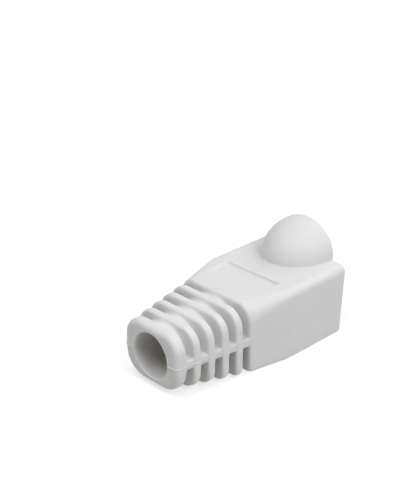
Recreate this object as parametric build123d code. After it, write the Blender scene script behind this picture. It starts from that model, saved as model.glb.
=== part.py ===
from build123d import *
import math
import os

# Strain relief boot for a modular network plug, moulded in one piece of soft PVC.
# Sizes in millimetres, angles in degrees.
# X runs across the boot, the nose points to -Y, the mouth to +Y and the latch dome up to +Z.
# The origin lies under the middle of the boot, on the plane that its belly rests on.
# Stations are measured from the mouth towards the nose, along the cable axis.

# The plug that the sleeve grips
plug_width = 11.7
plug_height = 6.7
plug_clearance = 0.05

# Sleeve around the plug
pocket_depth = 9.8
pocket_corner = 0.5
side_wall = 1.2
belly_wall = 1.0
roof_wall = 1.5
sleeve_top_round = 1.0
sleeve_belly_round = 0.35
mouth_lean = 5.0
mouth_edge_bevel = 0.1

# Tapered shoulder between the sleeve and the nose
shoulder_setback = 0.2
shoulder_turn = 0.7
shoulder_length = 6.0
front_width = 12.3
front_drop = 0.2
front_top_round = 2.35
front_belly_round = 0.7
front_edge_bevel = 0.2

# Bore for the cable, and the guide that narrows from the pocket to it
bore_diameter = 5.9
bore_edge_bevel = 0.06
stop_step = 0.7
front_wall = 1.2

# Nose: core, ribs, grooves and the fins that tie the ribs together
core_root_wall = 1.2
core_tip_wall = 0.65
rib_count = 4
rib_thickness = 1.1
groove_width = 0.91
rib_edge_bevel = 0.15
fin_thickness = 1.1
fin_inset = 0.1

# End ring
ring_thickness = 1.7
ring_side_wall = 1.6
ring_top_wall = 0.82
ring_bottom_wall = 0.82
ring_top_round = 2.35
ring_bottom_round = 3.1
ring_edge_round = 0.7
ring_face_draft = 3.0

# Latch dome at the mouth
dome_half_width = 4.95
dome_length = 6.35
dome_rise = 4.65
dome_foot = 0.3
dome_wall = 1.0
latch_room_depth = 4.2
latch_room_taper = 1.5

# Label recess on the top face, deepest at the end nearer the dome
label_gap = 3.25
label_width = 8.8
label_length = 3.8
label_depth = 0.3
label_far_depth = 0.03

# How far fused pieces run into each other
bite = 0.3

# Sizes and stations that follow from the ones above
pocket_width = plug_width + 2 * plug_clearance
pocket_height = plug_height + 2 * plug_clearance
sleeve_width = pocket_width + 2 * side_wall
body_height = belly_wall + pocket_height + roof_wall
front_height = body_height - front_drop
axis_height = belly_wall + pocket_height / 2
bore_radius = bore_diameter / 2
ring_width = bore_diameter + 2 * ring_side_wall
ring_top = axis_height + bore_radius + ring_top_wall
ring_bottom = axis_height - bore_radius - ring_bottom_wall
shoulder_station = pocket_depth + shoulder_setback
front_station = shoulder_station + shoulder_length
rib_pitch = rib_thickness + groove_width
ring_station = front_station + groove_width + rib_count * rib_pitch
tip_station = ring_station + ring_thickness
mouth_slope = math.tan(math.radians(mouth_lean))
mouth_shift = (body_height - axis_height) * mouth_slope
mouth_overhang = (body_height + dome_rise - mouth_edge_bevel - axis_height) * mouth_slope
mouth_y = (tip_station - mouth_overhang) / 2
reach = 2 * tip_station


def at(station):
    """Y of a station."""
    return mouth_y - station


def across(station):
    """Plane square to the cable axis, with its own x along X and its own y up."""
    return Plane(origin=(0, at(station), 0), x_dir=(1, 0, 0), z_dir=(0, -1, 0))


def along(start, end, first, last, station):
    """Value at a station, when it changes evenly from first to last."""
    return first + (last - first) * (station - start) / (end - start)


def outline(width, bottom, top, bottom_round, top_round):
    """Rounded rectangle with corners of one radius below and another above."""
    half = width / 2
    corners = [(-half, bottom), (half, bottom), (half, top), (-half, top)]
    face = make_face(Polyline(*corners, close=True))
    face = fillet(face.vertices().sort_by(Axis.Y)[:2], bottom_round)
    return fillet(face.vertices().sort_by(Axis.Y)[-2:], top_round)


def sleeve_outline():
    """Section of the sleeve, the same all along."""
    return outline(sleeve_width, 0, body_height, sleeve_belly_round, sleeve_top_round)


def shoulder_outline(station, inset=0):
    """Section of the shoulder, which is drawn in and grows rounder towards the nose."""
    span = (shoulder_station, front_station)
    width = along(*span, sleeve_width, front_width, station) - 2 * inset
    top = along(*span, body_height, front_height, station) - inset
    belly_round = along(*span, sleeve_belly_round, front_belly_round, station) - inset
    top_round = along(*span, sleeve_top_round, front_top_round, station) - inset
    return outline(width, inset, top, belly_round, top_round)


def nose_outline(station):
    """Section that the ribs and the ring fill, from the body's front face to the tip."""
    span = (front_station, tip_station)
    width = along(*span, front_width, ring_width, station)
    bottom = along(*span, 0, ring_bottom, station)
    top = along(*span, front_height, ring_top, station)
    bottom_round = along(*span, front_belly_round, ring_bottom_round, station)
    top_round = along(*span, front_top_round, ring_top_round, station)
    return outline(width, bottom, top, bottom_round, top_round)


def mouth_cutter():
    """Block that stands against the leaning mouth plane from outside."""
    block = Box(reach, reach, reach, align=(Align.CENTER, Align.MIN, Align.CENTER))
    return Pos(0, at(0), axis_height) * Rot(-mouth_lean, 0, 0) * block


def sleeve():
    """Straight sleeve, still solid, with a leaning mouth and a bevelled rim."""
    start = shoulder_station - shoulder_turn / 2
    block = extrude(across(start) * sleeve_outline(), amount=-2 * start)
    block = block - mouth_cutter()
    mouth = block.faces().sort_by(Axis.Y)[-1]
    return chamfer(mouth.edges(), mouth_edge_bevel)


def shoulder():
    """Tapered shoulder, still solid. Its last strip is the bevel of the front rim."""
    start = shoulder_station - shoulder_turn / 2
    turned = shoulder_station + shoulder_turn / 2
    rim = front_station - front_edge_bevel
    sections = [
        across(start) * sleeve_outline(),
        across(turned) * shoulder_outline(turned),
        across(rim) * shoulder_outline(rim),
        across(front_station) * shoulder_outline(front_station, front_edge_bevel),
    ]
    return loft(sections, ruled=True)


def below(height):
    """Block that fills everything under a height."""
    block = Box(reach, reach, reach, align=(Align.CENTER, Align.CENTER, Align.MAX))
    return Pos(0, 0, height) * block


def dome():
    """Cover of the latch: a quarter of an egg on a low upright foot, cut off by the mouth plane.

    Its middle lies where the leaning mouth plane meets the top face.
    """
    egg = scale(Sphere(1), by=(dome_half_width, dome_length, dome_rise - dome_foot))
    egg = Pos(0, 0, body_height + dome_foot) * egg - below(body_height + dome_foot)
    foot = extrude(Ellipse(dome_half_width, dome_length), amount=dome_foot + bite)
    shell = egg + Pos(0, 0, body_height - bite) * foot
    shell = Pos(0, at(-mouth_shift), 0) * shell - mouth_cutter()
    mouth = shell.faces().sort_by(Axis.Y)[-1]
    rims = [edge for edge in mouth.edges() if edge.center().Z > body_height]
    return chamfer(rims, mouth_edge_bevel)


def rib(start):
    """One rib with bevelled rims."""
    profile = nose_outline(start + rib_thickness / 2)
    blade = extrude(across(start) * profile, amount=rib_thickness)
    sides = blade.faces().sort_by(Axis.Y)
    rims = sides[0].edges() + sides[-1].edges()
    return chamfer(rims, rib_edge_bevel)


def ring_half(blank, side):
    """Half of the ring, above (side 1) or below (side -1) the parting line."""
    tip = Pos(0, at(tip_station), axis_height)
    keep = Box(reach, reach, reach, align=(Align.CENTER, Align.CENTER, Align.MIN))
    half = blank & tip * Rot(90 - 90 * side, 0, 0) * keep
    front = Box(reach, reach, reach, align=(Align.CENTER, Align.MAX, Align.CENTER))
    half = half - tip * Rot(-side * ring_face_draft, 0, 0) * front
    face = half.faces().sort_by(Axis.Y)[0]
    rims = [edge for edge in face.edges() if abs(edge.center().Z - axis_height) > 0.01]
    rims = sorted(rims, key=off_axis)
    half = fillet(rims[1:], ring_edge_round)
    face = half.faces().sort_by(Axis.Y)[0]
    rims = [edge for edge in face.edges() if off_axis(edge) < bore_radius + 0.01]
    rims = [edge for edge in rims if abs(edge.center().Z - axis_height) > 0.01]
    return chamfer(rims, bore_edge_bevel)


def off_axis(edge):
    """Distance of an edge's middle from the cable axis."""
    middle = edge.center()
    return math.hypot(middle.X, middle.Z - axis_height)


def end_ring():
    """Ring at the tip. Its face leans back a little, above and below the parting line."""
    profile = nose_outline(ring_station + ring_thickness / 2)
    blank = extrude(across(ring_station) * profile, amount=ring_thickness)
    back = blank.faces().sort_by(Axis.Y)[-1]
    blank = chamfer(back.edges(), rib_edge_bevel) - bore()
    return ring_half(blank, 1) + ring_half(blank, -1)


def core():
    """Tapered tube around the bore, which carries the ribs."""
    start = front_station - bite
    end = ring_station + bite
    walls = (front_station, ring_station, core_root_wall, core_tip_wall)
    root = bore_radius + along(*walls, start)
    tip = bore_radius + along(*walls, end)
    cone = Cone(root, tip, end - start)
    return Pos(0, at((start + end) / 2), axis_height) * Rot(90, 0, 0) * cone


def fins():
    """Fins at the height of the parting line, which tie the ribs together at both sides."""
    start = front_station - bite
    end = ring_station + bite
    widths = (front_station, tip_station, front_width, ring_width)
    wide = along(*widths, start) / 2 - fin_inset
    narrow = along(*widths, end) / 2 - fin_inset
    corners = [(-wide, at(start)), (wide, at(start)), (narrow, at(end)), (-narrow, at(end))]
    plan = make_face(Polyline(*corners, close=True))
    plate = extrude(plan, amount=fin_thickness / 2, both=True)
    return Pos(0, 0, axis_height) * plate


def nose():
    """Core, fins, ribs and end ring as one piece."""
    piece = core() + fins()
    for count in range(rib_count):
        piece += rib(front_station + groove_width + count * rib_pitch)
    return piece + end_ring()


def pocket():
    """Room for the rear of the plug, open at the mouth."""
    profile = RectangleRounded(pocket_width, pocket_height, pocket_corner)
    profile = across(pocket_depth) * Pos(0, axis_height) * profile
    return extrude(profile, amount=-(pocket_depth + shoulder_length))


def guide():
    """Way that narrows from the pocket to the bore. Its step is the plug's end stop."""
    start = at(pocket_depth)
    end = at(front_station - front_wall)
    wide = pocket_width / 2 - stop_step
    corners = [(-wide, start), (wide, start), (bore_radius, end), (-bore_radius, end)]
    plan = make_face(Polyline(*corners, close=True))
    wedge = extrude(plan, amount=pocket_height / 2 - stop_step, both=True)
    return Pos(0, 0, axis_height) * wedge


def bore():
    """Hole for the cable, from the guide out through the end ring."""
    start = front_station - front_wall - bite
    end = tip_station + bite
    hole = Cylinder(bore_radius, end - start)
    return Pos(0, at((start + end) / 2), axis_height) * Rot(90, 0, 0) * hole


def latch_room():
    """Tapered vault under the dome for the plug's latch, open to the pocket and the mouth."""
    radius = dome_half_width - dome_wall
    middle = body_height + dome_rise - dome_wall - radius
    start = -dome_wall
    end = latch_room_depth
    vault = Cone(radius, radius - latch_room_taper, end - start)
    return Pos(0, at((start + end) / 2), middle) * Rot(90, 0, 0) * vault


def label_recess():
    """Shallow field on the top face. It starts with a step and runs out towards the nose."""
    start = dome_length - mouth_shift + label_gap
    end = start + label_length
    top = along(shoulder_station, front_station, body_height, front_height, end)
    corners = [
        (at(start), body_height + bite),
        (at(start), body_height - label_depth),
        (at(end), top - label_far_depth),
        (at(end), body_height + bite),
    ]
    side = Plane.YZ * make_face(Polyline(*corners, close=True))
    return extrude(side, amount=label_width / 2, both=True)


def boot():
    """The whole boot as one moulded solid."""
    solid = sleeve() + shoulder() + dome() + nose()
    solid = solid - label_recess()
    return solid - pocket() - latch_room() - guide() - bore()


os.makedirs("parts", exist_ok=True)
export_step(boot(), "parts/boot.step")
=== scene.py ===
# %% [markdown]
# # A strain relief boot, moulded in one piece of soft PVC
#
# The boot slides over the rear of a modular network plug. Its dome covers the plug's latch, and its
# ribbed nose bends with the cord, so that the cord never kinks at the plug. The whole thing is one
# shot of soft, pale grey PVC: nothing is assembled, printed or painted on it.
#
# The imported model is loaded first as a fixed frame. Its shape is already right, so the frame is the
# master here, and everything below follows it.

# %% Load the fixed frame
import math
import random

import bmesh
import bpy
from mathutils import Matrix, Vector
from mathutils.bvhtree import BVHTree


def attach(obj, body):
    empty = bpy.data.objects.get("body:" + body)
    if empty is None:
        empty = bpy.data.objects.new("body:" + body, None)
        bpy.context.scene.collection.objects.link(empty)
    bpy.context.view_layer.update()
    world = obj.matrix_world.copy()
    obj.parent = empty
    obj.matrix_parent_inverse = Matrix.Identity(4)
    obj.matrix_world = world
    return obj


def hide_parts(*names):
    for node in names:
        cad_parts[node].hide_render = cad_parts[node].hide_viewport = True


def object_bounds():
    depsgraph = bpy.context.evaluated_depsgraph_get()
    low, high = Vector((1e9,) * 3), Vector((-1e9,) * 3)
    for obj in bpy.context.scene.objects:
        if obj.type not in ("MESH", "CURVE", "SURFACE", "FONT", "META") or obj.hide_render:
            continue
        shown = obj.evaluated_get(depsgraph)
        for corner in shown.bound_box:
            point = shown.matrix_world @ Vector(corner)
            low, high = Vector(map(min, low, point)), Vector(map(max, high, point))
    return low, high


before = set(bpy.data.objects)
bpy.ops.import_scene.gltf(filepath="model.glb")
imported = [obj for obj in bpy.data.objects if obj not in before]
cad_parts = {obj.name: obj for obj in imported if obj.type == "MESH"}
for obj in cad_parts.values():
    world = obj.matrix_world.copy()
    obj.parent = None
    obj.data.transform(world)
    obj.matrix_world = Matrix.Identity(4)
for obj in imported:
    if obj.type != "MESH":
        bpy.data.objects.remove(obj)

MM = 0.001
boot_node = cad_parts["boot"]
cad_low, cad_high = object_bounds()
print("CAD box in mm:", [round(size / MM, 2) for size in cad_high - cad_low])

# %% [markdown]
# ## Helpers
#
# Colours are chosen as sRGB hex values, as a designer would read them off a swatch, while Blender's
# nodes work in linear light. One function does the turning.

# %% Turn a hex colour to linear light
def linear(hex_colour):
    """Linear RGBA from an sRGB hex colour such as #DCDCDA."""
    channels = [int(hex_colour[start:start + 2], 16) / 255 for start in (1, 3, 5)]
    bent = [c / 12.92 if c <= 0.04045 else ((c + 0.055) / 1.055) ** 2.4 for c in channels]
    return (*bent, 1.0)


print("middle grey #808080 in linear light:", round(linear("#808080")[0], 3))

# %% [markdown]
# A material or a Geometry Nodes tree could be wired by hand in the editor. Written out here, it can be
# read from top to bottom. One small function adds a node, gives it its settings and links its inputs.
# Two more take the shape that Blender works out for an object as a plain mesh, and link a mesh to the
# scene.

# %% Add nodes, take shapes, show meshes
def add_node(tree, kind, settings=None, links=None):
    """Adds a node. Settings name its properties or inputs, links name its inputs."""
    node = tree.nodes.new(kind)
    for name, value in (settings or {}).items():
        if isinstance(name, str) and hasattr(node, name):
            setattr(node, name, value)
        else:
            node.inputs[name].default_value = value
    for name, socket in (links or {}).items():
        tree.links.new(socket, node.inputs[name])
    return node


def plain_mesh(thing, name):
    """The evaluated shape of an object as a mesh of its own."""
    graph = bpy.context.evaluated_depsgraph_get()
    mesh = bpy.data.meshes.new_from_object(thing.evaluated_get(graph))
    mesh.name = name
    return mesh


def show(mesh, name):
    """Links a mesh to the scene as an object at the origin."""
    thing = bpy.data.objects.new(name, mesh)
    bpy.context.scene.collection.objects.link(thing)
    return thing


print("helpers made: add_node, plain_mesh, show")

# %% [markdown]
# ## The moulded skin
#
# Soft PVC never comes out of the mould with a crisp edge. It shrinks as it cools, and every rim,
# groove and step turns a little round. Bevelling hundreds of edges by hand would be one way to show
# that. Here the shape is covered with an even net of very small squares instead, as a voxel remesh
# does, and the net is relaxed afterwards. It is built over a copy of the frame's mesh, whose loose
# triangles are welded first.

# %% Cover the boot with a fine net
NET_SIZE = 0.08 * MM
SAME_CORNER = 0.0001 * MM


def fine_net(node):
    """A closed net of small squares over a frame node's shape, as a new object."""
    mesh = node.data.copy()
    mesh.materials.clear()
    work = bmesh.new()
    work.from_mesh(mesh)
    bmesh.ops.remove_doubles(work, verts=work.verts, dist=SAME_CORNER)
    work.to_mesh(mesh)
    work.free()
    rough = show(mesh, "rough_net")
    net = rough.modifiers.new("net", "REMESH")
    net.mode = "VOXEL"
    net.voxel_size = NET_SIZE
    thing = show(plain_mesh(rough, "boot_skin"), "boot_skin")
    bpy.data.objects.remove(rough)
    return thing


boot_skin = fine_net(boot_node)
print("fine net:", len(boot_skin.data.polygons), "faces")

# %% [markdown]
# ## Where things are on the nose
#
# The bore runs along the middle of the nose, and the end ring, four ribs and a fin on each side stand
# around it. The steps below need to know where these are, so their places are written once, here.

# %% Places on the nose
AXIS_HEIGHT = 4.4 * MM
BORE_RADIUS = 2.95 * MM
NOSE_FACE = cad_low.y
RING_BACK = -12.0 * MM
RIBS_END = -2.3 * MM
FIN_HALF_HEIGHT = 0.9 * MM
FIRST_RIB_MIDDLE = -4.55 * MM
RIB_PITCH = 2.01 * MM


def from_axis(point):
    """Distance of a point from the line through the middle of the bore."""
    return math.hypot(point.x, point.z - AXIS_HEIGHT)


def from_middles(point):
    """Distance of a point, along the nose, from the nearest middle of a rib or a groove."""
    return abs((point.y - FIRST_RIB_MIDDLE + RIB_PITCH / 4) % (RIB_PITCH / 2) - RIB_PITCH / 4)


print("nose face at", round(NOSE_FACE / MM, 2), "mm, a rib every", round(RIB_PITCH / MM, 2), "mm")

# %% [markdown]
# ## Soft edges and crisp edges
#
# How round an edge is differs from place to place on the real boot. The ribs were cut into the mould
# with round-nosed tools, so their edges are the softest, and the outer edge of the end ring comes
# next. The bore is shaped by a steel pin that shuts off against the mould, so its rim stays crisp, and
# so does the label recess. A pull from 0 to 1 says how strongly the smoothing works at each place. The
# middles of the ribs and grooves are held, so that the ribs turn round without getting lower.

# %% How strongly each place is smoothed
PULL_ON_EDGES = 0.070
PULL_ON_CRISP_EDGES = 0.020
PULL_ON_RING = 0.20
PULL_ON_RIBS = 0.95
HELD_HALF_WIDTH = 0.12 * MM
RIM_DEPTH = 1.0 * MM
RIM_WIDTH = 0.35 * MM
RING_CORNER = 0.5 * MM
RECESS_HALF_WIDTH = 4.8 * MM
RECESS_MIDDLE = 1.85 * MM
RECESS_HALF_LENGTH = 2.4 * MM
RECESS_BOTTOM = 8.6 * MM


def in_rim(point):
    """Whether a point belongs to the rim of the bore."""
    return point.y < NOSE_FACE + RIM_DEPTH and from_axis(point) < BORE_RADIUS + RIM_WIDTH


def in_recess(point):
    """Whether a point belongs to the label recess on the top."""
    return (abs(point.x) < RECESS_HALF_WIDTH and point.z > RECESS_BOTTOM
            and abs(point.y - RECESS_MIDDLE) < RECESS_HALF_LENGTH)


def pull_at(point):
    """How strongly the smoothing pulls at a point of the skin."""
    if in_rim(point) or in_recess(point):
        return PULL_ON_CRISP_EDGES
    if point.y < RING_BACK - RING_CORNER:
        return PULL_ON_RING
    if point.y < RIBS_END and abs(point.z - AXIS_HEIGHT) > FIN_HALF_HEIGHT:
        return PULL_ON_CRISP_EDGES if from_middles(point) < HELD_HALF_WIDTH else PULL_ON_RIBS
    return PULL_ON_EDGES


print("pull on the bore's rim:", pull_at(Vector((BORE_RADIUS, NOSE_FACE, AXIS_HEIGHT))))

# %% [markdown]
# ## Relax the net
#
# The Smooth modifier moves each point of the net towards the middle of its neighbours, again and
# again. A subdivision surface would round the edges too, but by the same amount everywhere. The
# modifier takes its strength from a vertex group, which holds the pull of each point. Sixty rounds
# turn an edge round by about 0.3 mm on the ribs, and by less than 0.1 mm on the sleeve.

# %% Smooth the net by the pull at each place
RELAX_ROUNDS = 60
STEP_PER_ROUND = 0.5


def relax(thing):
    """Smooths the net, and says how many points have each pull."""
    group = thing.vertex_groups.new(name="pull")
    bands = {}
    for vertex in thing.data.vertices:
        bands.setdefault(pull_at(vertex.co), []).append(vertex.index)
    for pull, vertices in bands.items():
        group.add(vertices, pull, "REPLACE")
    smooth = thing.modifiers.new("smooth", "SMOOTH")
    smooth.factor = STEP_PER_ROUND
    smooth.iterations = RELAX_ROUNDS
    smooth.vertex_group = "pull"
    return {pull: len(vertices) for pull, vertices in bands.items()}


print("points by pull:", relax(boot_skin))

# %% [markdown]
# The net has more squares than it needs where nothing bends, so a last pass thins it, which keeps the
# file light. Then every face is shaded smooth. The remesh leaves a stored normal on each corner, which
# is no longer true after the smoothing, so it is dropped and Blender works the normals out anew.

# %% Thin the net
NET_SHARE_KEPT = 0.235


def thin(thing):
    """Thins the net and makes its modifiers part of the mesh."""
    fewer = thing.modifiers.new("fewer", "DECIMATE")
    fewer.ratio = NET_SHARE_KEPT
    mesh = plain_mesh(thing, "boot_skin")
    thing.modifiers.clear()
    thing.vertex_groups.clear()
    thing.data = mesh
    stored = mesh.attributes.get("custom_normal")
    if stored:
        mesh.attributes.remove(stored)
    for face in mesh.polygons:
        face.use_smooth = True


thin(boot_skin)
print("skin:", len(boot_skin.data.polygons), "faces")

# %% [markdown]
# ## The finish of the PVC, and painted shade in the bore
#
# Inside the bore the colour is painted a little darker and warmer: this is painted shade, standing in
# for the shadow that falls deep in the hole.
# A material can't tell the inside of a hole from the outside by itself. Painting a mask would be one
# way, but the bore's place is known in numbers, so each point of the skin gets a mark from 0 to 1 as
# an attribute, which the material can read.

# %% Mark the inside of the bore
BORE_SHADE_START = 0.1 * MM
BORE_SHADE_DEPTH = 5.0 * MM
BORE_END = 4 * MM
BORE_SLACK = 0.06 * MM


def painted_bore_shade(point):
    """How much painted shade a point gets: 0 outside the bore and at its rim, rising softly to 1 a few
    millimetres inside.
    """
    if from_axis(point) > BORE_RADIUS + BORE_SLACK or point.y > BORE_END:
        return 0.0
    share = min(max((point.y - NOSE_FACE - BORE_SHADE_START) / BORE_SHADE_DEPTH, 0.0), 1.0)
    return share * share * (3 - 2 * share)


# Store the painted shade of the bore on each point of the skin.
depth = boot_skin.data.attributes.new("painted_bore_shade", "FLOAT", "POINT")
for vertex, mark in zip(boot_skin.data.vertices, depth.data):
    mark.value = painted_bore_shade(vertex.co)
print("points inside the bore:", sum(mark.value > 0 for mark in depth.data))

# %% [markdown]
# The mould was spark eroded, which leaves a very fine, even grain on the skin, finer than a fifth of a
# millimetre. Under it, the skin swells and sinks by a few hundredths of a millimetre, because thick
# places shrink more than thin ones. Both are far too shallow to be worth faces in the mesh, so two
# noises drive two bumps, one after the other.

# %% Bumps of the moulded skin
GRAIN_SIZE = 0.16 * MM
GRAIN_HEIGHT = 0.02 * MM
WAVE_SIZE = 4.0 * MM
WAVE_HEIGHT = 0.1 * MM


def moulded_skin(tree, place):
    """The normal of a skin with a fine grain and slow swells."""
    grain = add_node(
        tree, "ShaderNodeTexNoise", {"Scale": 1 / GRAIN_SIZE, "Detail": 2.0, "Roughness": 0.5},
        {"Vector": place})
    wave = add_node(
        tree, "ShaderNodeTexNoise", {"Scale": 1 / WAVE_SIZE, "Detail": 1.0, "Roughness": 0.4},
        {"Vector": place})
    swell = add_node(
        tree, "ShaderNodeBump", {"Strength": 0.25, "Distance": WAVE_HEIGHT},
        {"Height": wave.outputs["Fac"]})
    bump = add_node(
        tree, "ShaderNodeBump", {"Strength": 0.12, "Distance": GRAIN_HEIGHT},
        {"Height": grain.outputs["Fac"], "Normal": swell.outputs["Normal"]})
    return bump.outputs["Normal"]


print("grains per millimetre:", round(MM / GRAIN_SIZE, 1))

# %% [markdown]
# The white pigment isn't mixed in perfectly, so the grey drifts by about one part in a hundred from
# place to place. A slow noise mixes two greys that lie close together. The mark on the bore then mixes
# in a darker, warmer grey, which is painted shade for the inside of the hole.

# %% Colour of the pigment
PVC_COLOUR = "#DEDFDB"
PVC_PALER = "#E1E2DF"
# Painted shade: the darker, warmer grey painted on the inside of the bore.
BORE_SHADE_COLOUR = "#CDC7BC"
DRIFT_SIZE = 5.0 * MM


def pvc_colour(tree, place):
    """Pale grey that drifts a little, with painted shade that makes it darker and warmer inside the
    bore.
    """
    drift = add_node(
        tree, "ShaderNodeTexNoise", {"Scale": 1 / DRIFT_SIZE, "Detail": 2.0, "Roughness": 0.6},
        {"Vector": place})
    pigment = add_node(
        tree, "ShaderNodeMixRGB", {"Color1": linear(PVC_COLOUR), "Color2": linear(PVC_PALER)},
        {"Fac": drift.outputs["Fac"]})
    # Painted shade: the bore's mark mixes in the darker, warmer grey.
    in_bore = add_node(tree, "ShaderNodeAttribute", {"attribute_name": "painted_bore_shade"})
    colour = add_node(
        tree, "ShaderNodeMixRGB", {"Color2": linear(BORE_SHADE_COLOUR)},
        {"Fac": in_bore.outputs["Fac"], "Color1": pigment.outputs["Color"]})
    return colour.outputs["Color"]


for grey in (PVC_COLOUR, PVC_PALER, BORE_SHADE_COLOUR):
    print(grey, "sends back", round(100 * linear(grey)[1]), "% of the light")

# %% [markdown]
# Soft PVC is matte and a little waxy: light goes in for less than a millimetre and comes out again
# beside the place, which lifts the shadow sides of the thin ribs. Subsurface scattering does that. The
# bead on the parting line is thinner than this depth and would come out dark with it, so it has the
# same PVC without the scattering.

# %% Soft PVC
PVC_ROUGHNESS = 0.52
PVC_IOR = 1.53
LIGHT_DEPTH = 0.7 * MM
LIGHT_DEPTH_BY_COLOUR = (1.0, 1.0, 0.9)
SHARE_THAT_SINKS_IN = 0.50


def soft_pvc(name, sinks_in):
    """Moulded soft PVC. The second value is the share of the light that sinks in."""
    material = bpy.data.materials.new(name)
    material.use_nodes = True
    tree = material.node_tree
    shader = tree.nodes["Principled BSDF"]
    place = add_node(tree, "ShaderNodeTexCoord").outputs["Object"]
    tree.links.new(moulded_skin(tree, place), shader.inputs["Normal"])
    tree.links.new(pvc_colour(tree, place), shader.inputs["Base Color"])
    shader.inputs["Roughness"].default_value = PVC_ROUGHNESS
    shader.inputs["IOR"].default_value = PVC_IOR
    shader.inputs["Subsurface Weight"].default_value = sinks_in
    shader.inputs["Subsurface Radius"].default_value = LIGHT_DEPTH_BY_COLOUR
    shader.inputs["Subsurface Scale"].default_value = LIGHT_DEPTH
    return material


boot_pvc = soft_pvc("moulded_soft_pvc", SHARE_THAT_SINKS_IN)
bead_pvc = soft_pvc("parting_bead_soft_pvc", 0.0)
boot_skin.data.materials.append(boot_pvc)
print("materials:", boot_pvc.name, "and", bead_pvc.name)

# %% [markdown]
# ## Growing small things with Geometry Nodes
#
# The parting line and the specks follow the skin, so they are grown there by Geometry Nodes. Modelling
# them by hand would take longer, and they would stay behind when the boot changes. The trees have
# named inputs for the sizes, so that one number changes all of them. The modifier knows an input by
# its identifier and not by its name, so a helper looks it up. Each tree ends in the same way: its
# instances become real geometry, which gets its material.

# %% Helpers for Geometry Nodes
def tree_with_inputs(name, inputs):
    """An empty Geometry Nodes tree, with a number input for each name."""
    tree = bpy.data.node_groups.new(name, "GeometryNodeTree")
    tree.interface.new_socket("Geometry", in_out="INPUT", socket_type="NodeSocketGeometry")
    for title in inputs:
        tree.interface.new_socket(title, in_out="INPUT", socket_type="NodeSocketFloat")
    tree.interface.new_socket("Geometry", in_out="OUTPUT", socket_type="NodeSocketGeometry")
    return tree


def end_tree(tree, geometry, material):
    """Makes instances real, gives them a material and ends the tree."""
    whole = add_node(tree, "GeometryNodeRealizeInstances", {}, {"Geometry": geometry})
    dressed = add_node(
        tree, "GeometryNodeSetMaterial", {"Material": material},
        {"Geometry": whole.outputs["Geometry"]})
    add_node(tree, "NodeGroupOutput", {}, {"Geometry": dressed.outputs["Geometry"]})


def grown_piece(seed, tree, sizes, name):
    """The piece that a tree grows out of a helper object, which is removed."""
    modifier = seed.modifiers.new(name, "NODES")
    modifier.node_group = tree
    for socket in tree.interface.items_tree:
        if socket.in_out == "INPUT" and socket.name in sizes:
            modifier[socket.identifier] = sizes[socket.name]
    mesh = plain_mesh(seed, name)
    bpy.data.objects.remove(seed)
    for face in mesh.polygons:
        face.use_smooth = True
    return show(mesh, name)


print("helpers made: tree_with_inputs, end_tree, grown_piece")

# %% [markdown]
# ## The parting line
#
# The two halves of the mould meet at the height of the bore's axis. A hair of PVC creeps between
# them, so a thin bead runs along both sides of the boot: from the bore's rim over the end ring, along
# the fins and ribs, and along the sleeve to the mouth. It could be drawn as a bump, but then it would
# be missing from the mesh. A level plane cuts the finished skin instead, which gives the exact line,
# and the cut is followed on the outside, point by point.

# %% Find the line where the mould halves met
MOUTH_END = 12.8 * MM
RIM_ROUNDING = 0.1 * MM
SAME_CUT_POINT = 0.001 * MM


def walk(start, side):
    """The points of the cut in order, from the bore's rim along the outside to the mouth."""
    outwards = [edge.other_vert(start) for edge in start.link_edges]
    last, here = start, max(outwards, key=lambda vertex: vertex.co.x * side)
    way = [last.co.copy(), here.co.copy()]
    while here.co.y < MOUTH_END:
        nearby = [edge.other_vert(here) for edge in here.link_edges]
        last, here = here, next(vertex for vertex in nearby if vertex != last)
        way.append(here.co.copy())
    return way


def parting_ways(mesh):
    """The cut's way on both sides of the boot."""
    work = bmesh.new()
    work.from_mesh(mesh)
    everything = work.verts[:] + work.edges[:] + work.faces[:]
    bmesh.ops.bisect_plane(
        work, geom=everything, plane_co=(0, 0, AXIS_HEIGHT), plane_no=(0, 0, 1),
        clear_inner=True, clear_outer=True)
    bmesh.ops.remove_doubles(work, verts=work.verts, dist=SAME_CUT_POINT)
    ways = []
    for side in (-1, 1):
        rim = Vector((side * (BORE_RADIUS + RIM_ROUNDING), NOSE_FACE, AXIS_HEIGHT))
        start = min(work.verts, key=lambda vertex: (vertex.co - rim).length)
        ways.append(walk(start, side))
    work.free()
    return ways


ways = parting_ways(boot_skin.data)
print("points on the parting line:", [len(way) for way in ways])

# %% [markdown]
# The line is handed to Geometry Nodes as bare edges. They turn it into a curve with even steps and
# sweep a small round profile along it. The mould wears most at its end, so the bead is thickest on the
# ring and gets thinner towards the sleeve: the profile's scale follows the place along the boot.

# %% Sweep the bead along the line
RING_BEAD = 0.080 * MM
SLEEVE_BEAD = 0.038 * MM
RING_END = -11.5 * MM
SLEEVE_START = -4.0 * MM
BEAD_STEP = 0.12 * MM
BEAD_SIDES = 8


def line_object(ways):
    """The ways as an object of bare edges."""
    mesh = bpy.data.meshes.new("parting_ways")
    points, edges = [], []
    for way in ways:
        edges += [(len(points) + step, len(points) + step + 1) for step in range(len(way) - 1)]
        points += way
    mesh.from_pydata(points, edges, [])
    return show(mesh, "parting_ways")


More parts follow.
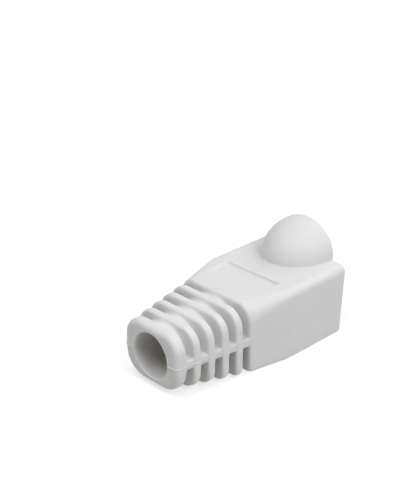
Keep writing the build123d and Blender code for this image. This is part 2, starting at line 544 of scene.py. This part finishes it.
def bead_tree(material):
    """Sweeps a round bead along a line, thick at the nose and thin along the sleeve."""
    tree = tree_with_inputs("parting_bead", ["Ring Bead", "Sleeve Bead"])
    given = add_node(tree, "NodeGroupInput").outputs
    line = add_node(tree, "GeometryNodeMeshToCurve", {}, {"Mesh": given["Geometry"]})
    even = add_node(
        tree, "GeometryNodeResampleCurve", {"mode": "LENGTH", "Length": BEAD_STEP},
        {"Curve": line.outputs["Curve"]})
    along = add_node(
        tree, "ShaderNodeSeparateXYZ", {},
        {"Vector": add_node(tree, "GeometryNodeInputPosition").outputs["Position"]})
    radius = add_node(
        tree, "ShaderNodeMapRange", {"From Min": RING_END, "From Max": SLEEVE_START},
        {"Value": along.outputs["Y"], "To Min": given["Ring Bead"], "To Max": given["Sleeve Bead"]})
    profile = add_node(
        tree, "GeometryNodeCurvePrimitiveCircle", {"Resolution": BEAD_SIDES, "Radius": 1.0})
    bead = add_node(
        tree, "GeometryNodeCurveToMesh", {"Fill Caps": True},
        {"Curve": even.outputs["Curve"], "Profile Curve": profile.outputs["Curve"],
         "Scale": radius.outputs["Result"]})
    end_tree(tree, bead.outputs["Mesh"], material)
    return tree


bead_sizes = {"Ring Bead": RING_BEAD, "Sleeve Bead": SLEEVE_BEAD}
parting_bead = grown_piece(line_object(ways), bead_tree(bead_pvc), bead_sizes, "parting_bead")
print("bead:", len(parting_bead.data.polygons), "faces")

# %% [markdown]
# ## Specks
#
# White PVC shows every grain of dust. A few dark specks were pressed into the boot while it was warm.
# Two sit where they catch the eye, one on a rib and one by the front edge of the sleeve, and the rest
# are strewn over the skin. They could be dots in the colour, but a real grain also stands out a little
# and catches the light.

# %% Choose the places of the specks
SEEN_SPECKS = [Vector((4.14, -6.52, 8.63)) * MM, Vector((4.43, -2.88, 9.02)) * MM]
STREWN_SPECKS = 12
STREWING_SEED = 11


def speck_places(mesh):
    """Points on the skin: the seen ones, and some picked with a fixed seed."""
    finder = BVHTree.FromPolygons([v.co for v in mesh.vertices], [f.vertices for f in mesh.polygons])
    places = [finder.find_nearest(place)[0] for place in SEEN_SPECKS]
    picked = random.Random(STREWING_SEED).sample(range(len(mesh.polygons)), STREWN_SPECKS)
    return places + [mesh.polygons[face].center.copy() for face in picked]


places_mesh = bpy.data.meshes.new("speck_places")
places_mesh.from_pydata(speck_places(boot_skin.data), [], [])
print("specks:", len(places_mesh.vertices))

# %% [markdown]
# The specks are mineral dust: quite rough, brownish grey, and each a little different. A noise that is
# much larger than a speck gives each one a colour of its own.

# %% Dust material
DUST_COLOUR = "#6E6A62"
DUST_PALER = "#9A958B"
DUST_SPREAD = 2.0 * MM
DUST_ROUGHNESS = 0.85


def dust(name):
    """Pressed-in mineral dust."""
    material = bpy.data.materials.new(name)
    material.use_nodes = True
    tree = material.node_tree
    shader = tree.nodes["Principled BSDF"]
    place = add_node(tree, "ShaderNodeTexCoord").outputs["Object"]
    spread = add_node(tree, "ShaderNodeTexNoise", {"Scale": 1 / DUST_SPREAD}, {"Vector": place})
    colour = add_node(
        tree, "ShaderNodeMixRGB", {"Color1": linear(DUST_COLOUR), "Color2": linear(DUST_PALER)},
        {"Fac": spread.outputs["Fac"]})
    tree.links.new(colour.outputs["Color"], shader.inputs["Base Color"])
    shader.inputs["Roughness"].default_value = DUST_ROUGHNESS
    return material


pressed_dust = dust("pressed_in_dust")
print("material:", pressed_dust.name)

# %% [markdown]
# One small round grain is made once, and Geometry Nodes put it at every place, each in a size of its
# own. Its middle lies on the skin, so it is half sunk, as a grain that was pressed in would be.

# %% Put a grain at each place
SMALLEST_SPECK = 0.020 * MM
LARGEST_SPECK = 0.055 * MM
SIZE_SEED = 3


def speck_tree(material):
    """Puts a small grain, half sunk, at every point that it is given."""
    tree = tree_with_inputs("specks", ["Smallest", "Largest"])
    given = add_node(tree, "NodeGroupInput").outputs
    points = add_node(tree, "GeometryNodeMeshToPoints", {}, {"Mesh": given["Geometry"]})
    grain = add_node(tree, "GeometryNodeMeshIcoSphere", {"Radius": 1.0, "Subdivisions": 2})
    size = add_node(
        tree, "FunctionNodeRandomValue", {"data_type": "FLOAT", "Seed": SIZE_SEED},
        {"Min": given["Smallest"], "Max": given["Largest"]})
    grains = add_node(
        tree, "GeometryNodeInstanceOnPoints", {},
        {"Points": points.outputs["Points"], "Instance": grain.outputs["Mesh"],
         "Scale": size.outputs["Value"]})
    end_tree(tree, grains.outputs["Instances"], material)
    return tree


speck_sizes = {"Smallest": SMALLEST_SPECK, "Largest": LARGEST_SPECK}
places_object = show(places_mesh, "speck_places")
specks = grown_piece(places_object, speck_tree(pressed_dust), speck_sizes, "specks")
print("specks:", len(specks.data.polygons), "faces")

# %% [markdown]
# ## Hand the pieces to the frame
#
# The boot is one moulding, so everything rides on its only body. The skin takes the place of the
# plain CAD boot, which stays in the frame for collisions, and the bead and the specks are grown on
# the skin.

# %% Bind the pieces to the frame
for piece in (boot_skin, parting_bead, specks):
    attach(piece, "root")
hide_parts("boot")
print("pieces on the body root:", [piece.name for piece in (boot_skin, parting_bead, specks)])

# %% [markdown]
# ## Floor and backdrop
#
# The boot lies on white paper in a white room. White paper that is lit enough to be pure white in the
# picture would throw far too much light back at the boot, so the two are kept apart. Surfaces here
# glow only for rays that come straight from the camera, or by way of a reflection or glass, and a
# small helper picks out those rays.

# %% Rays that see the paper and the room
WHITE = linear("#FFFFFF")


def seen_directly(tree):
    """1 for rays of the camera and of reflections and glass, 0 for rays that carry light."""
    rays = add_node(tree, "ShaderNodeLightPath").outputs
    glossy = add_node(
        tree, "ShaderNodeMath", {"operation": "MAXIMUM"},
        {0: rays["Is Camera Ray"], 1: rays["Is Glossy Ray"]})
    either = add_node(
        tree, "ShaderNodeMath", {"operation": "MAXIMUM"},
        {0: glossy.outputs[0], 1: rays["Is Transmission Ray"]})
    return either.outputs[0]


print("white in linear light:", WHITE)

# %% [markdown]
# The paper is a light grey that keeps the boot's shadow, and its glow lifts it to white. The lamps
# stand near the boot and leave the far paper darker, so the glow rises with the distance. The disc
# lies a hair under the belly, so that the two faces never lie in one plane.

# %% White paper
PAPER_COLOUR = "#C4C4C1"
PAPER_GLOW = 0.62
FAR_PAPER_GLOW = 1.0
NEAR_PAPER = 40 * MM
FAR_PAPER = 250 * MM
FLOOR_RADIUS = 2.0
FLOOR_SIDES = 64
FLOOR_DROP = 0.002 * MM


def white_paper(name):
    """Pale paper that keeps shadows, and glows for rays that see it directly."""
    material = bpy.data.materials.new(name)
    material.use_nodes = True
    tree = material.node_tree
    tree.nodes.clear()
    matt = add_node(tree, "ShaderNodeBsdfDiffuse", {"Color": linear(PAPER_COLOUR)})
    place = add_node(tree, "ShaderNodeTexCoord").outputs["Object"]
    away = add_node(tree, "ShaderNodeVectorMath", {"operation": "LENGTH"}, {0: place})
    glow_by_place = add_node(
        tree, "ShaderNodeMapRange",
        {"From Min": NEAR_PAPER, "From Max": FAR_PAPER, "To Min": PAPER_GLOW, "To Max": FAR_PAPER_GLOW},
        {"Value": away.outputs["Value"]})
    strength = add_node(
        tree, "ShaderNodeMath", {"operation": "MULTIPLY"},
        {0: seen_directly(tree), 1: glow_by_place.outputs["Result"]})
    glow = add_node(tree, "ShaderNodeEmission", {"Color": WHITE}, {"Strength": strength.outputs[0]})
    both = add_node(tree, "ShaderNodeAddShader", {}, {0: matt.outputs[0], 1: glow.outputs[0]})
    add_node(tree, "ShaderNodeOutputMaterial", {}, {"Surface": both.outputs[0]})
    return material


floor_mesh = bpy.data.meshes.new("floor")
disc = bmesh.new()
bmesh.ops.create_circle(disc, cap_ends=True, radius=FLOOR_RADIUS, segments=FLOOR_SIDES)
disc.to_mesh(floor_mesh)
disc.free()
floor_mesh.materials.append(white_paper("white_paper"))
floor = show(floor_mesh, "floor")
floor.location.z = -FLOOR_DROP
print("floor:", FLOOR_RADIUS * 2, "m across")

# %% [markdown]
# The room works in the same way: white where it is seen, and only a faint, even light on the boot. It
# stands for the light that walls and ceiling send back, and it keeps the sides that no lamp reaches
# from going black.

# %% White room
ROOM_LIGHT = 0.18
ROOM_COLOUR = "#FFFEF6"
world = bpy.data.worlds.new("white_room")
bpy.context.scene.world = world
world.use_nodes = True
room = world.node_tree
room.nodes.clear()
fill = add_node(room, "ShaderNodeBackground", {"Color": linear(ROOM_COLOUR), "Strength": ROOM_LIGHT})
white = add_node(room, "ShaderNodeBackground", {"Color": WHITE, "Strength": 1.0})
sky = add_node(
    room, "ShaderNodeMixShader", {}, {0: seen_directly(room), 1: fill.outputs[0], 2: white.outputs[0]})
add_node(room, "ShaderNodeOutputWorld", {}, {"Surface": sky.outputs[0]})
print("room light on the boot:", ROOM_LIGHT)

# %% [markdown]
# ## Light
#
# A product like this is lit by large softboxes: shadows have no edge, and the shine on the dome is
# wide and faint. The lamps stand high, so the top is the lightest, and most of their power is at the
# right, so that side stays lighter than the face of the ring. An image of a studio as the world's
# light would be as soft, but five square lamps can be changed one by one. Light adds up, so each lamp
# was rendered alone first, and the powers that together give the right greys on top, side, dome and
# ring were worked out from those pictures.

# %% Ring of softboxes
LAMP_SIDE = 0.55
AIM = Vector((0, 0, 4))
LAMP_COLOUR = "#F8F7FF"
SOFTBOXES = {
    # turn in degrees, height in degrees, distance in mm, power in watts
    "front_softbox": (0, 68, 130, 0.068),
    "right_softbox": (90, 40, 200, 0.182),
    "back_right_softbox": (135, 40, 200, 0.024),
    "back_softbox": (180, 40, 200, 0.090),
    "left_softbox": (315, 40, 200, 0.034),
}


def softbox(name, turn, height, distance, watts):
    """A square lamp aimed at the boot. Turn 0 is in front of the nose and 90 at the right."""
    lamp = bpy.data.lights.new(name, "AREA")
    lamp.shape = "SQUARE"
    lamp.size = LAMP_SIDE * distance * MM
    lamp.energy = watts
    lamp.color = linear(LAMP_COLOUR)[:3]
    thing = bpy.data.objects.new(name, lamp)
    bpy.context.scene.collection.objects.link(thing)
    turn, height = math.radians(turn), math.radians(height)
    level = math.cos(height)
    way = Vector((math.sin(turn) * level, -math.cos(turn) * level, math.sin(height)))
    thing.location = (way * distance + AIM) * MM
    thing.rotation_euler = way.to_track_quat("Z", "Y").to_euler()


for name, settings in SOFTBOXES.items():
    softbox(name, *settings)
print("softboxes:", len(SOFTBOXES), "with", round(sum(row[3] for row in SOFTBOXES.values()), 3), "W")

# %% [markdown]
# ## Camera
#
# The boot was photographed from the front right and from above, and from near, so that the ring in
# front looks larger for its size than the mouth at the back. A camera could be moved by eye until the
# picture matches. Here its place, its turn and its lens were fitted to the boot's outlines at once,
# because a change of one can hide behind a change of another. The turn is written as the three
# directions of the camera: right, up and back. The view transform is the plain one, so that the
# colours come out as they were chosen.

# %% Camera at the photograph's place
CAMERA_PLACE = Vector((82.358, -81.220, 68.830)) * MM
CAMERA_RIGHT = Vector((0.68440, 0.72887, -0.01871))
CAMERA_UP = Vector((-0.30203, 0.30677, 0.90259))
CAMERA_BACK = Vector((0.66361, -0.61208, 0.43009))
camera_data = bpy.data.cameras.new("camera")
camera_data.sensor_width = 36.0
camera_data.lens = 75.6
camera_data.shift_x = -0.0011
camera_data.shift_y = -0.0005
camera_data.clip_start = 1 * MM
camera_data.clip_end = 10.0
camera = bpy.data.objects.new("camera", camera_data)
bpy.context.scene.collection.objects.link(camera)
camera_turn = Matrix((CAMERA_RIGHT, CAMERA_UP, CAMERA_BACK)).transposed().to_4x4()
camera.matrix_world = Matrix.Translation(CAMERA_PLACE) @ camera_turn
bpy.context.scene.camera = camera
bpy.context.scene.view_settings.view_transform = "Standard"
print("camera to the frame's origin:", round(CAMERA_PLACE.length / MM), "mm")
